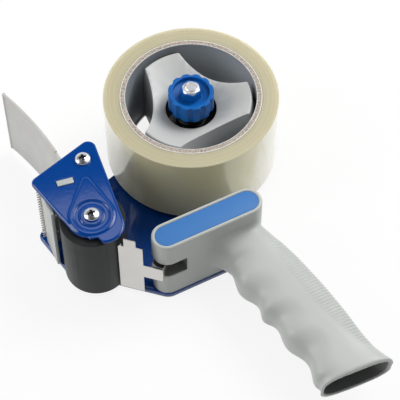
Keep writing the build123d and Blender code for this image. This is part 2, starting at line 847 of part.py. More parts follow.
pocket_start = notch_reach + post_wall
pocket_end = post_length - screw_radius - post_wall
pocket_length = pocket_end - pocket_start
pocket_middle = along(post_x, post_y, post_angle, (pocket_start + pocket_end) / 2)
notch_span = notch_reach + post_radius + overcut
notch_depth = 2 * post_radius - post_wall + overcut
notch_side = post_radius - post_wall - notch_depth / 2
notch_middle = along(post_x, post_y, post_angle, notch_reach - notch_span / 2, notch_side)
with BuildPart() as handle:
    for station in grip_stations:
        add(grip_section(*station, 0))
    loft()
    add(grip_hollow.part, mode=Mode.SUBTRACT)
    with BuildSketch(Plane.XY.offset(base_top)):
        with Locations(post_middle):
            SlotCenterToCenter(post_length, 2 * post_radius, rotation=post_angle)
    extrude(amount=post_height)
    fillet(handle.faces().filter_by(Axis.Z).sort_by(Axis.Z)[-1].edges(), post_round)
    with BuildSketch(Plane.XY.offset(post_top)):
        with Locations(post_middle):
            SlotCenterToCenter(post_length, 2 * (post_radius - pad_rim), rotation=post_angle)
    extrude(amount=-pad_depth, mode=Mode.SUBTRACT)
    with BuildSketch(Plane.XY.offset(base_top)):
        with Locations(pocket_middle):
            Rectangle(pocket_length, 2 * post_radius - 2 * post_wall, rotation=post_angle)
    extrude(amount=post_height - pad_depth - post_wall, mode=Mode.SUBTRACT)
    with BuildSketch(Plane.XY.offset(base_top + notch_low)):
        with Locations(notch_middle):
            Rectangle(notch_span, notch_depth, rotation=post_angle)
    extrude(amount=notch_high - notch_low, mode=Mode.SUBTRACT)
    with BuildSketch(Plane.XY.offset(base_top)):
        with Locations((post_x, post_y), (post_end_x, post_end_y)):
            Circle(screw_radius + running)
    extrude(amount=handle_screw_length - sheet, mode=Mode.SUBTRACT)
    with BuildSketch(Plane.XY.offset(base_top)):
        with Locations(pin_spot):
            Circle(pin_diameter / 2 + running)
    extrude(amount=pin_length + axial_play, mode=Mode.SUBTRACT)

with BuildPart() as handle_pad:
    with BuildSketch(Plane.XY.offset(post_top - pad_depth)):
        with Locations(post_middle):
            SlotCenterToCenter(post_length, 2 * (post_radius - pad_rim - running), rotation=post_angle)
    extrude(amount=pad_depth - pad_recess)
    fillet(handle_pad.faces().sort_by(Axis.Z)[-1].edges(), pad_round)

with BuildPart() as handle_screws:
    for spot in ((post_x, post_y), (post_end_x, post_end_y)):
        with BuildSketch(Plane.XY.offset(base_rim - low_head_height)):
            with Locations(spot):
                Circle(low_head_diameter / 2)
        extrude(amount=low_head_height)
        with BuildSketch(Plane.XY.offset(base_rim)):
            with Locations(spot):
                Circle(screw_radius)
        extrude(amount=handle_screw_length)

# Tongue: a sprung steel finger that turns on a pin in the handle post
with BuildPart() as tongue_pin:
    with BuildSketch(Plane.XY.offset(base_top)):
        with Locations(pin_spot):
            Circle(pin_diameter / 2)
    extrude(amount=pin_length)

eye_line = pin_diameter / 2 + running + tongue_sheet / 2
fold = along(tongue_x, tongue_y, tongue_angle, arm_reach)
fold_x = pin_spot[0] - fold[0]
fold_y = pin_spot[1] - fold[1]
leg_span = sqrt(fold_x**2 + fold_y**2 - eye_line**2)
leg_angle = degrees(atan2(-fold_y, -fold_x)) + degrees(atan2(eye_line, leg_span))
eye_start = along(*pin_spot, leg_angle - 90, eye_line)
leg_low = base_top + arm_low + leg_inset_low
leg_high = base_top + arm_high - leg_inset_high
eye_top = leg_low + eye_height
curl_start = along(*fold, leg_angle + 180, curl_lap)

with BuildPart() as tongue:
    with BuildSketch(upright(tongue_x, tongue_y, tongue_angle, base_top)):
        with BuildLine():
            Polyline(
                (0, tongue_bottom),
                (tongue_width, tongue_bottom),
                (tongue_width, arm_low),
                (arm_reach, arm_low),
                (arm_reach, arm_high),
                (tongue_width, arm_high),
                (tongue_width, tongue_step),
                (tongue_rise + tongue_crest, tongue_step),
                (tongue_rise + tongue_crest, tongue_top),
                (tongue_rise, tongue_top),
                (tongue_rise, tongue_step - tongue_notch),
                (tongue_rise - tongue_notch, tongue_step - tongue_notch),
                (tongue_rise - tongue_notch, tongue_step),
                (0, tongue_shoulder),
                close=True,
            )
        make_face()
    extrude(amount=tongue_sheet / 2, both=True)
    with BuildSketch(Plane.XY.offset(leg_low)):
        with BuildLine():
            Line(along(*fold, tongue_angle + 180, lap), fold)
            Line(fold, along(*eye_start, leg_angle, eye_clear))
        trace(line_width=tongue_sheet)
    extrude(amount=leg_high - leg_low)
    with BuildSketch(Plane.XY.offset(leg_low)):
        with BuildLine():
            Line(along(*eye_start, leg_angle, eye_clear + lap / 2), eye_start)
            CenterArc(pin_spot, eye_line, leg_angle - 90, -eye_sweep)
        trace(line_width=tongue_sheet)
    extrude(amount=eye_height)
    with BuildSketch(Plane.XY.offset(leg_high - curl_height)):
        with BuildLine():
            ThreePointArc(
                curl_start,
                along(post_x, post_y, curl_middle_bearing, curl_reach),
                along(post_x, post_y, curl_end_bearing, curl_reach),
            )
        trace(line_width=tongue_sheet)
    extrude(amount=curl_height)

spring_line = pin_diameter / 2 + running + spring_strip / 2
spring_seat = eye_top + axial_play
spring_split = (leg_high - spring_seat) / 2
push_angle = leg_angle - push_spread
rest_angle = post_angle - rest_spread
rest_start = along(*pin_spot, rest_angle - 90, spring_line)
rest_end = along(*rest_start, rest_angle, rest_reach)
push_start = along(*pin_spot, push_angle + 90, spring_line)
with BuildPart() as tongue_spring:
    with BuildSketch(Plane.XY.offset(spring_seat)):
        with Locations(pin_spot):
            Circle(spring_line + spring_strip / 2)
            Circle(spring_line - spring_strip / 2, mode=Mode.SUBTRACT)
    extrude(amount=2 * spring_split)
    with BuildSketch(Plane.XY.offset(spring_seat)):
        with BuildLine():
            Line(rest_start, rest_end)
            ThreePointArc(
                rest_end,
                along(*rest_end, rest_angle + rest_hook_middle, rest_hook_radius),
                along(*rest_end, rest_angle + rest_hook_end, rest_hook_radius),
            )
        trace(line_width=spring_strip)
    extrude(amount=spring_split)
    with BuildSketch(Plane.XY.offset(spring_seat + spring_split)):
        with BuildLine():
            Line(push_start, along(*push_start, push_angle, push_reach))
        trace(line_width=spring_strip)
    extrude(amount=spring_split)

write(base_plate.part, "base_plate")
write(top_plate.part, "top_plate")
write(spacer_post.part, "spacer_post")
write(spacer_screws, "spacer_screws")
write(axle_screws, "axle_screws")
write(roller_axle.part, "roller_axle")
write(roller_sleeve.part, "roller_sleeve")
write(roller_core.part, "roller_core")
write(roller_bushes.part, "roller_bushes")
write(hub_stud.part, "hub_stud")
write(hub_thrust_washer.part, "hub_thrust_washer")
write(hub.part, "hub")
write(hub_bush.part, "hub_bush")
write(friction_washer.part, "friction_washer")
write(pressure_washer.part, "pressure_washer")
write(tension_spring.part, "tension_spring")
write(knob.part, "knob")
write(lock_nut.part, "lock_nut")
write(tape_core.part, "tape_core")
write(tape_roll.part, "tape_roll")
write(blade_holder.part, "blade_holder")
write(blade.part, "blade")
write(blade_rivets.part, "blade_rivets")
write(wiper_flap.part, "wiper_flap")
write(handle.part, "handle")
write(handle_pad.part, "handle_pad")
write(handle_screws.part, "handle_screws")
write(tongue.part, "tongue")
write(tongue_pin.part, "tongue_pin")
write(tongue_spring.part, "tongue_spring")
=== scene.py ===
from math import asin, cos, pi, radians, sin, sqrt

import bmesh
import bpy
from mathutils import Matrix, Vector


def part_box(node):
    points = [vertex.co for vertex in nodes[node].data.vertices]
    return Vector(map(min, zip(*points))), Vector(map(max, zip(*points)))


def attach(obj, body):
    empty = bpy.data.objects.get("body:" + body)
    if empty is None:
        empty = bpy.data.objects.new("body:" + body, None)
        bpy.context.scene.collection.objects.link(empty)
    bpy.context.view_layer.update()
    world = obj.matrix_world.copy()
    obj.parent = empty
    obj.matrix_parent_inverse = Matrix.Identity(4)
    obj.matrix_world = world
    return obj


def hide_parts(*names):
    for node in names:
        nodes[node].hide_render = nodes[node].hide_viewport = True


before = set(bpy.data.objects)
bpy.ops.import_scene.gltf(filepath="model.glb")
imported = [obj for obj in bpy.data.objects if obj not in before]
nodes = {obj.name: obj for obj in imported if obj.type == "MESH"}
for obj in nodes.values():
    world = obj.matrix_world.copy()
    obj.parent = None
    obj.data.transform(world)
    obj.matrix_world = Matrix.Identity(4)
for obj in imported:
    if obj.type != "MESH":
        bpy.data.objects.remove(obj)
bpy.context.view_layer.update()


# The camera stands in front of the dispenser and looks steeply down on it.
# Its place comes from the roll's rims, which are circles of known size.
looks_down = 56.19
camera_data = bpy.data.cameras.new("camera")
camera_data.lens = 139.7
camera_data.sensor_width = 36.0
camera_data.clip_end = 20.0
camera = bpy.data.objects.new("camera", camera_data)
bpy.context.scene.collection.objects.link(camera)
camera.location = (0.0052, -0.5494, 0.7683)
camera.rotation_euler = (radians(90 - looks_down), 0.0, 0.0)
bpy.context.scene.camera = camera
bpy.context.scene.view_settings.view_transform = "Standard"


# The studio: a white sweep that keeps a faint shadow, and a room that gives soft light from behind.
# Glossy surfaces see its white walls and a dark ceiling. A large key lamp stands behind on the
# right, a fill on the left, and a small window shows in the enamel.
def new_material(name):
    """A material with its node tree and its Principled shader."""
    material = bpy.data.materials.new(name)
    material.use_nodes = True
    return material, material.node_tree, material.node_tree.nodes["Principled BSDF"]


def add_node(tree, kind, **settings):
    """Add a node and set its properties."""
    made = tree.nodes.new(kind)
    for name, value in settings.items():
        setattr(made, name, value)
    return made


def set_inputs(made, **values):
    """Set a node's sockets by their names, with _ for a space."""
    for name, value in values.items():
        made.inputs[name.replace("_", " ")].default_value = value


def link_sockets(tree, *pairs):
    """Link each output socket to its input."""
    for source, target in pairs:
        tree.links.new(source, target)


floor_drop = 0.0002
floor_reach = 3.0
floor_white_share = 0.86
floor_mesh = bpy.data.meshes.new("studio_floor")
floor_corners = [(x * floor_reach, y * floor_reach, 0) for x, y in ((-1, -1), (1, -1), (1, 1), (-1, 1))]
floor_mesh.from_pydata(floor_corners, [], [(0, 1, 2, 3)])
studio_floor = bpy.data.objects.new("studio_floor", floor_mesh)
bpy.context.scene.collection.objects.link(studio_floor)
studio_floor.location.z = -floor_drop
paper, tree, shader = new_material("studio_paper")
set_inputs(shader, Base_Color=(0.8, 0.8, 0.8, 1), Roughness=0.9, Specular_IOR_Level=0.0)
paper_glow = tree.nodes.new("ShaderNodeEmission")
paper_mix = tree.nodes.new("ShaderNodeMixShader")
paper_rays = tree.nodes.new("ShaderNodeLightPath")
paper_mirrored = add_node(tree, "ShaderNodeMath", operation="MAXIMUM")
paper_seen = add_node(tree, "ShaderNodeMath", operation="MAXIMUM")
paper_share = add_node(tree, "ShaderNodeMath", operation="MULTIPLY")
paper_share.inputs[1].default_value = floor_white_share
set_inputs(paper_glow, Color=(1, 1, 1, 1), Strength=1.0)
link_sockets(
    tree,
    (paper_rays.outputs["Is Camera Ray"], paper_seen.inputs[0]),
    (paper_rays.outputs["Is Glossy Ray"], paper_mirrored.inputs[0]),
    (paper_rays.outputs["Is Transmission Ray"], paper_mirrored.inputs[1]),
    (paper_mirrored.outputs["Value"], paper_seen.inputs[1]),
    (paper_seen.outputs["Value"], paper_share.inputs[0]),
    (paper_share.outputs["Value"], paper_mix.inputs["Fac"]),
    (shader.outputs["BSDF"], paper_mix.inputs[1]),
    (paper_glow.outputs["Emission"], paper_mix.inputs[2]),
    (paper_mix.outputs["Shader"], tree.nodes["Material Output"].inputs["Surface"]),
)
floor_mesh.materials.append(paper)

world = bpy.data.worlds.new("studio_room")
bpy.context.scene.world = world
world.use_nodes = True
room = world.node_tree
room_light = room.nodes["Background"]
room_rays = room.nodes.new("ShaderNodeLightPath")
room_where = room.nodes.new("ShaderNodeTexCoord")
room_axes = room.nodes.new("ShaderNodeSeparateXYZ")
room_shade = room.nodes.new("ShaderNodeMapRange")
room_walls = room.nodes.new("ShaderNodeMapRange")
room_mirrored = add_node(room, "ShaderNodeMix", data_type="FLOAT")
room_seen = add_node(room, "ShaderNodeMix", data_type="FLOAT")
set_inputs(room_light, Color=(1, 1, 1, 1))
set_inputs(room_shade, From_Min=-0.9, From_Max=0.7, To_Min=0.22, To_Max=0.66)
set_inputs(room_walls, From_Min=0.20, From_Max=0.65, To_Min=1.0, To_Max=0.03)
room_seen.inputs["B"].default_value = 1.0
link_sockets(
    room,
    (room_where.outputs["Generated"], room_axes.inputs["Vector"]),
    (room_axes.outputs["Y"], room_shade.inputs["Value"]),
    (room_axes.outputs["Z"], room_walls.inputs["Value"]),
    (room_rays.outputs["Is Glossy Ray"], room_mirrored.inputs["Factor"]),
    (room_shade.outputs["Result"], room_mirrored.inputs["A"]),
    (room_walls.outputs["Result"], room_mirrored.inputs["B"]),
    (room_rays.outputs["Is Camera Ray"], room_seen.inputs["Factor"]),
    (room_mirrored.outputs["Result"], room_seen.inputs["A"]),
    (room_seen.outputs["Result"], room_light.inputs["Strength"]),
)

aim = Vector((0.0, -0.05, 0.03))
lamps = {
    "lamp_key": ((0.62, 0.42, 0.95), 0.75, 0.75, 11.9),
    "lamp_fill": ((-0.95, -0.15, 0.55), 0.5, 0.9, 5.5),
    "lamp_window": ((-0.14, 0.485, 1.06), 0.16, 0.20, 0.20),
}
for name, (place, wide, tall, watts) in lamps.items():
    lamp_data = bpy.data.lights.new(name, "AREA")
    lamp_data.shape = "RECTANGLE"
    lamp_data.size = wide
    lamp_data.size_y = tall
    lamp_data.energy = watts
    lamp = bpy.data.objects.new(name, lamp_data)
    bpy.context.scene.collection.objects.link(lamp)
    lamp.location = place
    lamp.rotation_euler = (aim - Vector(place)).to_track_quat("-Z", "Y").to_euler()


# The base plate is pressed from steel sheet with a turned-down rim, and sprayed in gloss blue
# enamel. The paint has a slight ripple, and it darkens a little where it lies thick.
def value_group(name, inputs, outputs):
    """An empty node group with the sockets named, and its two ends."""
    group = bpy.data.node_groups.new(name, "ShaderNodeTree")
    for label, kind, value in inputs:
        group.interface.new_socket(label, in_out="INPUT", socket_type=kind).default_value = value
    for label, kind in outputs:
        group.interface.new_socket(label, in_out="OUTPUT", socket_type=kind)
    return group, group.nodes.new("NodeGroupInput"), group.nodes.new("NodeGroupOutput")


COLOR = "NodeSocketColor"
FLOAT = "NodeSocketFloat"
grain_inputs = [
    ("Color", COLOR, (0.5, 0.5, 0.5, 1)), ("Shade", COLOR, (0.4, 0.4, 0.4, 1)),
    ("Patch Scale", FLOAT, 60.0), ("Grain Scale", FLOAT, 1500.0),
    ("Smooth", FLOAT, 0.3), ("Rough", FLOAT, 0.4),
]
grain_outputs = [("Color", COLOR), ("Roughness", FLOAT), ("Height", FLOAT)]
surface_grain, given, result = value_group("surface_grain", grain_inputs, grain_outputs)
where = surface_grain.nodes.new("ShaderNodeTexCoord")
patches = surface_grain.nodes.new("ShaderNodeTexNoise")
grains = surface_grain.nodes.new("ShaderNodeTexNoise")
tint = add_node(surface_grain, "ShaderNodeMix", data_type="RGBA")
spread = surface_grain.nodes.new("ShaderNodeMapRange")
set_inputs(patches, Detail=3.0, Roughness=0.55)
set_inputs(grains, Detail=2.0, Roughness=0.5)
link_sockets(
    surface_grain,
    (where.outputs["Object"], patches.inputs["Vector"]),
    (where.outputs["Object"], grains.inputs["Vector"]),
    (given.outputs["Patch Scale"], patches.inputs["Scale"]),
    (given.outputs["Grain Scale"], grains.inputs["Scale"]),
    (patches.outputs["Fac"], tint.inputs["Factor"]),
    (given.outputs["Color"], tint.inputs["A"]),
    (given.outputs["Shade"], tint.inputs["B"]),
    (patches.outputs["Fac"], spread.inputs["Value"]),
    (given.outputs["Smooth"], spread.inputs["To Min"]),
    (given.outputs["Rough"], spread.inputs["To Max"]),
    (tint.outputs["Result"], result.inputs["Color"]),
    (spread.outputs["Result"], result.inputs["Roughness"]),
    (grains.outputs["Fac"], result.inputs["Height"]),
)


def grained(name, color, shade, roughness, patch_scale, grain_scale, depth, **constants):
    """A material whose colour and roughness drift, with a fine grain in its surface."""
    material, tree, shader = new_material(name)
    grain = add_node(tree, "ShaderNodeGroup", node_tree=surface_grain)
    set_inputs(grain, Color=(*color, 1), Shade=(*shade, 1), Patch_Scale=patch_scale, Grain_Scale=grain_scale)
    set_inputs(grain, Smooth=roughness[0], Rough=roughness[1])
    bump = tree.nodes.new("ShaderNodeBump")
    set_inputs(bump, Strength=1.0, Distance=depth)
    link_sockets(
        tree,
        (grain.outputs["Color"], shader.inputs["Base Color"]),
        (grain.outputs["Roughness"], shader.inputs["Roughness"]),
        (grain.outputs["Height"], bump.inputs["Height"]),
        (bump.outputs["Normal"], shader.inputs["Normal"]),
    )
    set_inputs(shader, **constants)
    return material


def welded(name, joined=0.000002, flat=0.3):
    """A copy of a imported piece's mesh with its points joined and its flat faces merged."""
    mesh = nodes[name].data.copy()
    mesh.name = name + "_mesh"
    work = bmesh.new()
    work.from_mesh(mesh)
    bmesh.ops.remove_doubles(work, verts=work.verts, dist=joined)
    bmesh.ops.dissolve_limit(
        work, angle_limit=radians(flat), verts=work.verts, edges=work.edges, delimit={"NORMAL"}
    )
    work.to_mesh(mesh)
    work.free()
    return mesh


def add_piece(name, mesh, body, replaced, slot, *materials):
    """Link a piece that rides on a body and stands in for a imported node."""
    piece = bpy.data.objects.new(name, mesh)
    bpy.context.scene.collection.objects.link(piece)
    if materials and mesh.materials:
        mesh.materials.clear()
    for material in materials:
        mesh.materials.append(material)
    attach(piece, body)
    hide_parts(replaced)
    return piece


def apply_modifiers(piece):
    """Make a piece and its modifiers one plain mesh."""
    depsgraph = bpy.context.evaluated_depsgraph_get()
    made = bpy.data.meshes.new_from_object(piece.evaluated_get(depsgraph))
    piece.modifiers.clear()
    piece.data = made


def shade_by_angle(mesh, angle=35.0):
    """Smooth shading that breaks at edges sharper than an angle in degrees."""
    work = bmesh.new()
    work.from_mesh(mesh)
    for face in work.faces:
        face.smooth = True
    for line in work.edges:
        line.smooth = len(line.link_faces) == 2 and line.calc_face_angle() < radians(angle)
    work.to_mesh(mesh)
    work.free()


def round_edges(piece, width, segments=2, limit=30.0):
    """Round a piece's sharp edges, and shade it smooth across the small angles."""
    rounding = piece.modifiers.new("edges", "BEVEL")
    rounding.width = width
    rounding.segments = segments
    rounding.limit_method = "ANGLE"
    rounding.angle_limit = radians(limit)
    apply_modifiers(piece)
    shade_by_angle(piece.data)


def finish_nodes(material, *names):
    """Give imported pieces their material."""
    for name in names:
        mesh = nodes[name].data
        mesh.materials.clear()
        mesh.materials.append(material)


blue_enamel = grained(
    "blue_enamel", color=(0.0010, 0.048, 0.250), shade=(0.0008, 0.041, 0.220), roughness=(0.05, 0.09),
    patch_scale=22.0, grain_scale=420.0, depth=0.000012,
)
base_plate = add_piece(
    "base_plate_made", welded("base_plate"), "frame", "base_plate", "blue_paint", blue_enamel
)
round_edges(base_plate, width=0.00025)


# Steel hardware that is bright zinc plated: the post between the plates, the roller's axle,
# the tongue's pin and the screws that hold the handle from below.
zinc_plate = grained(
    "zinc_plate", color=(0.86, 0.88, 0.90), shade=(0.62, 0.64, 0.67), roughness=(0.20, 0.40),
    patch_scale=420.0, grain_scale=2600.0, depth=0.00001, Metallic=1.0,
)
finish_nodes(zinc_plate, "spacer_post", "roller_axle", "tongue_pin", "handle_screws")


# The blade's holder is a grey moulding: a bar whose tabs pass through slots in both plates,
# a plate that guides the tape to the roller, and a socket for the flap.
grey_moulding = grained(
    "grey_moulding", color=(0.445, 0.465, 0.447), shade=(0.418, 0.436, 0.419), roughness=(0.34, 0.44),
    patch_scale=30.0, grain_scale=2200.0, depth=0.00002,
)
blade_holder = add_piece(
    "blade_holder_made", welded("blade_holder"), "frame", "blade_holder", "grey_plastic", grey_moulding
)
round_edges(blade_holder, width=0.0002)


# The blade is a comb stamped from spring steel and ground on its cutting side. It is riveted to
# the back of the bar with three dome-headed steel rivets.
spring_steel = grained(
    "spring_steel", color=(0.66, 0.645, 0.61), shade=(0.56, 0.55, 0.52), roughness=(0.22, 0.34),
    patch_scale=160.0, grain_scale=2400.0, depth=0.00001, Metallic=1.0,
)
blade = add_piece("blade_made", welded("blade"), "frame", "blade", "blade_steel", spring_steel)
round_edges(blade, width=0.00008, segments=1)
finish_nodes(zinc_plate, "blade_rivets")


# The wiper flap is cut from flexible grey sheet that is a little translucent. It is scuffed along
# its length by the tape, has a bead at its free end, and its root turns in the holder's socket.
flap_sheet = grained(
    "flap_sheet", color=(0.54, 0.54, 0.52), shade=(0.46, 0.46, 0.44), roughness=(0.30, 0.48),
    patch_scale=90.0, grain_scale=900.0, depth=0.00003, Subsurface_Weight=0.15, Subsurface_Scale=0.002,
)
wiper_flap = add_piece(
    "wiper_flap_made", welded("wiper_flap"), "wiper", "wiper_flap", "grey_plastic", flap_sheet
)
round_edges(wiper_flap, width=0.0002)


# The roller is a rubber sleeve ground to size, pressed on a ribbed black core that turns on two
# nylon bushes. Grinding leaves fine rings in the rubber.
ground_rings, given, result = value_group(
    "ground_rings", [("Pitch Scale", FLOAT, 2500.0)], [("Height", FLOAT), ("Wear", FLOAT)]
)
where = ground_rings.nodes.new("ShaderNodeTexCoord")
axes = ground_rings.nodes.new("ShaderNodeSeparateXYZ")
rings = add_node(ground_rings, "ShaderNodeTexNoise", noise_dimensions="1D")
scuffs = ground_rings.nodes.new("ShaderNodeTexNoise")
set_inputs(rings, Detail=3.0)
set_inputs(scuffs, Scale=140.0, Detail=4.0, Roughness=0.6)
link_sockets(
    ground_rings,
    (where.outputs["Object"], axes.inputs["Vector"]),
    (where.outputs["Object"], scuffs.inputs["Vector"]),
    (axes.outputs["Z"], rings.inputs["W"]),
    (given.outputs["Pitch Scale"], rings.inputs["Scale"]),
    (rings.outputs["Fac"], result.inputs["Height"]),
    (scuffs.outputs["Fac"], result.inputs["Wear"]),
)

roller_rubber, tree, shader = new_material("roller_rubber")
rubber_rings = add_node(tree, "ShaderNodeGroup", node_tree=ground_rings)
rubber_tone = add_node(tree, "ShaderNodeMix", data_type="RGBA")
rubber_bump = tree.nodes.new("ShaderNodeBump")
ground_rubber, worn_rubber = (0.010, 0.0115, 0.012, 1), (0.020, 0.022, 0.023, 1)
rubber_tone.inputs["A"].default_value = ground_rubber
rubber_tone.inputs["B"].default_value = worn_rubber
set_inputs(rubber_bump, Strength=1.0, Distance=0.00004)
set_inputs(shader, Roughness=0.46, Specular_IOR_Level=0.22)
link_sockets(
    tree,
    (rubber_rings.outputs["Wear"], rubber_tone.inputs["Factor"]),
    (rubber_tone.outputs["Result"], shader.inputs["Base Color"]),
    (rubber_rings.outputs["Height"], rubber_bump.inputs["Height"]),
    (rubber_bump.outputs["Normal"], shader.inputs["Normal"]),
)
roller_sleeve = add_piece(
    "roller_sleeve_made", welded("roller_sleeve"), "roller", "roller_sleeve", "dark_rubber", roller_rubber
)
shade_by_angle(roller_sleeve.data)
# Black moulding for the roller's core and the brake's washers; on the hub's well the same black is a painted
# shade.
black_moulding_and_shade = grained(
    "black_moulding_and_shade", color=(0.010, 0.010, 0.011), shade=(0.014, 0.014, 0.015), roughness=(0.34, 0.5),
    patch_scale=60.0, grain_scale=1800.0, depth=0.00002,
)
finish_nodes(black_moulding_and_shade, "roller_core", "friction_washer", "pressure_washer")
bush_nylon = grained(
    "bush_nylon", color=(0.62, 0.61, 0.56), shade=(0.55, 0.54, 0.50), roughness=(0.30, 0.42),
    patch_scale=60.0, grain_scale=1600.0, depth=0.00001, Subsurface_Weight=0.1, Subsurface_Scale=0.001,
)
finish_nodes(bush_nylon, "roller_bushes", "hub_thrust_washer", "hub_bush")


# The tongue is a finger of polished spring steel that holds the tape on the roller. Its folded leg
# wraps a pin in the handle's notch, where a strip spring pushes it.
polished_strip = grained(
    "polished_strip", color=(0.68, 0.665, 0.635), shade=(0.58, 0.565, 0.54), roughness=(0.26, 0.36),
    patch_scale=70.0, grain_scale=1800.0, depth=0.000008, Metallic=1.0,
)
tongue = add_piece("tongue_made", welded("tongue"), "tongue", "tongue", "spring_steel", polished_strip)
round_edges(tongue, width=0.00009, segments=1)
finish_nodes(spring_steel, "tongue_spring")


# The handle is one hollow grey moulding: an upright post and a grip with finger hollows, a flared
# mouth and fine ribs under the palm. It is screwed to the base plate from below.
def ramp(value, start, end):
    """A smooth step from 0 at the start to 1 at the end."""
    share = min(1.0, max(0.0, (value - start) / (end - start)))
    return share * share * (3 - 2 * share)


def plan_direction(angle):
    """A flat unit vector at an angle in degrees from +X."""
    return Vector((cos(radians(angle)), sin(radians(angle)), 0))


def reskinned(piece, voxel):
    """Give a piece one even skin of small squares that can be softened and pressed."""
    skin = piece.modifiers.new("skin", "REMESH")
    skin.mode = "VOXEL"
    skin.voxel_size = voxel
    apply_modifiers(piece)


def mark(zone, vertex, share, least=0.001):
    """Put a point in a zone, by the share that it takes part."""
    if share > least:
        zone.add([vertex.index], share, "REPLACE")


def soften(piece, zone, turns):
    """Smooth a zone of a piece's skin, a little at each turn."""
    smoothing = piece.modifiers.new(zone.name, "SMOOTH")
    smoothing.factor = 0.5
    smoothing.iterations = turns
    smoothing.vertex_group = zone.name


# Plan of the grip, its slanted mouth and the post
grip_angle = -53.9
grip_length = 0.1015
grip_start = Vector((0.0293, -0.0846, 0.0243))
grip_along = plan_direction(grip_angle)
grip_across = plan_direction(grip_angle + 90)
mouth_outward = plan_direction(grip_angle - 12.7)
mouth_middle = grip_start + grip_along * grip_length
post_angle = 27.4
post_radius = 0.0086
post_start = Vector((-0.0131, -0.09255, 0.0))
post_along = plan_direction(post_angle)
post_outward = plan_direction(post_angle - 90)

# Where the grip blends into the post: along the post, outwards from it and upwards
blend_run = (0.014, 0.024)
blend_out = (0.0055, 0.0085)
blend_fade = (0.024, 0.014)
blend_floor = (0.0045, 0.009)
blend_roof = (0.046, 0.040)
lip_run = (-0.007, -0.003)
lip_facing = (-0.5, -0.1)

# Ribs under the palm and hollows for the fingers: places along the grip and across it
rib_pitch = 0.0020
rib_height = 0.00050
rib_low, rib_bow, rib_fade = 0.0118, 0.0055, 0.004
rib_first = (0.008, 0.014)
rib_last = (0.097, 0.088)
finger_pitch = 0.0215
finger_depth = 0.0013
finger_offset = 0.020
finger_first = (0.004, 0.009)
finger_last = (0.088, 0.080)
finger_side = (0.001, -0.013)

# Faces that lie in shade, behind the lip of the mouth and in the notch for the tongue's arm
lip_width = 0.0012
hollow_from = 0.040
notch_low, notch_high = 0.0213, 0.0340
notch_reach = 0.0088
notch_skin = 0.0006


def out_of_axis(place):
    """The flat and upright offset of a point from the grip's axis."""
    offset = place - grip_start
    return grip_across * offset.dot(grip_across) + Vector((0, 0, offset.z))


handle = add_piece("handle_made", welded("handle"), "frame", "handle", "grey_plastic", grey_moulding)
reskinned(handle, voxel=0.00045)
blend_zone = handle.vertex_groups.new(name="blend")
lip_zone = handle.vertex_groups.new(name="lip")
for vertex in handle.data.vertices:
    place = vertex.co
    run = (place - post_start).dot(post_along)
    out = (place - post_start).dot(post_outward)
    share = ramp(run, *blend_run) * ramp(out, *blend_out) * ramp(out, *blend_fade)
    share *= ramp(place.z, *blend_floor) * ramp(place.z, *blend_roof)
    mark(blend_zone, vertex, share)
    share = ramp((place - mouth_middle).dot(mouth_outward), *lip_run)
    share *= ramp(vertex.normal.dot(out_of_axis(place).normalized()), *lip_facing)
    mark(lip_zone, vertex, share)
soften(handle, blend_zone, turns=240)
soften(handle, lip_zone, turns=90)
apply_modifiers(handle)

normals = [vertex.normal.copy() for vertex in handle.data.vertices]
for vertex, normal in zip(handle.data.vertices, normals):
    offset = vertex.co - grip_start
    run, across = offset.dot(grip_along), offset.dot(grip_across)
    if not 0.0 < run < grip_length or normal.dot(out_of_axis(vertex.co)) < 0.0:
        continue
    rib_edge = rib_low - rib_bow * sin(pi * run / grip_length)
    rib_share = ramp(across, rib_edge, rib_edge + rib_fade) * ramp(run, *rib_first) * ramp(run, *rib_last)
    rib = 0.5 + 0.5 * cos(2 * pi * run / rib_pitch)
    groove = 0.5 - 0.5 * cos(2 * pi * (run - finger_offset) / finger_pitch)
    groove *= ramp(run, *finger_first) * ramp(run, *finger_last)
    hollow = groove * ramp(across, *finger_side) * abs(normal.z)
    vertex.co += normal * (rib_height * rib * rib_share - finger_depth * hollow)
# The faces in shade inside the mouth and in the notch get a darker grey: a painted shade, as the moulding is
# the same grey there.
painted_shade_moulding = grained(
    "painted_shade_moulding", color=(0.150, 0.156, 0.150), shade=(0.130, 0.135, 0.130), roughness=(0.5, 0.6),
    patch_scale=30.0, grain_scale=2200.0, depth=0.00002,
)
handle.data.materials.append(painted_shade_moulding)
for face in handle.data.polygons:
    face.use_smooth = True
    inward = face.normal.dot(out_of_axis(face.center)) < 0
    behind_lip = (face.center - mouth_middle).dot(mouth_outward) < -lip_width
    in_hollow = inward and behind_lip and (face.center - grip_start).dot(grip_along) > hollow_from
    offset = face.center - post_start
    run, side = offset.dot(post_along), offset.dot(post_outward)
    within = abs(side) if run > 0 else sqrt(run * run + side * side)
    in_post = run < notch_reach and within < post_radius - notch_skin
    in_notch = in_post and notch_low < face.center.z < notch_high
    if in_hollow or in_notch:
        face.material_index = 1


# The blue insert in the top of the post is a bare satin moulding, pressed into its pocket.
pad_moulding = grained(
    "pad_moulding", color=(0.033, 0.170, 0.460), shade=(0.028, 0.150, 0.415), roughness=(0.40, 0.52),
    patch_scale=110.0, grain_scale=1800.0, depth=0.00002, Specular_IOR_Level=0.4,
)
handle_pad = add_piece(
    "handle_pad_made", welded("handle_pad"), "frame", "handle_pad", "pad_blue", pad_moulding
)
round_edges(handle_pad, width=0.0001)


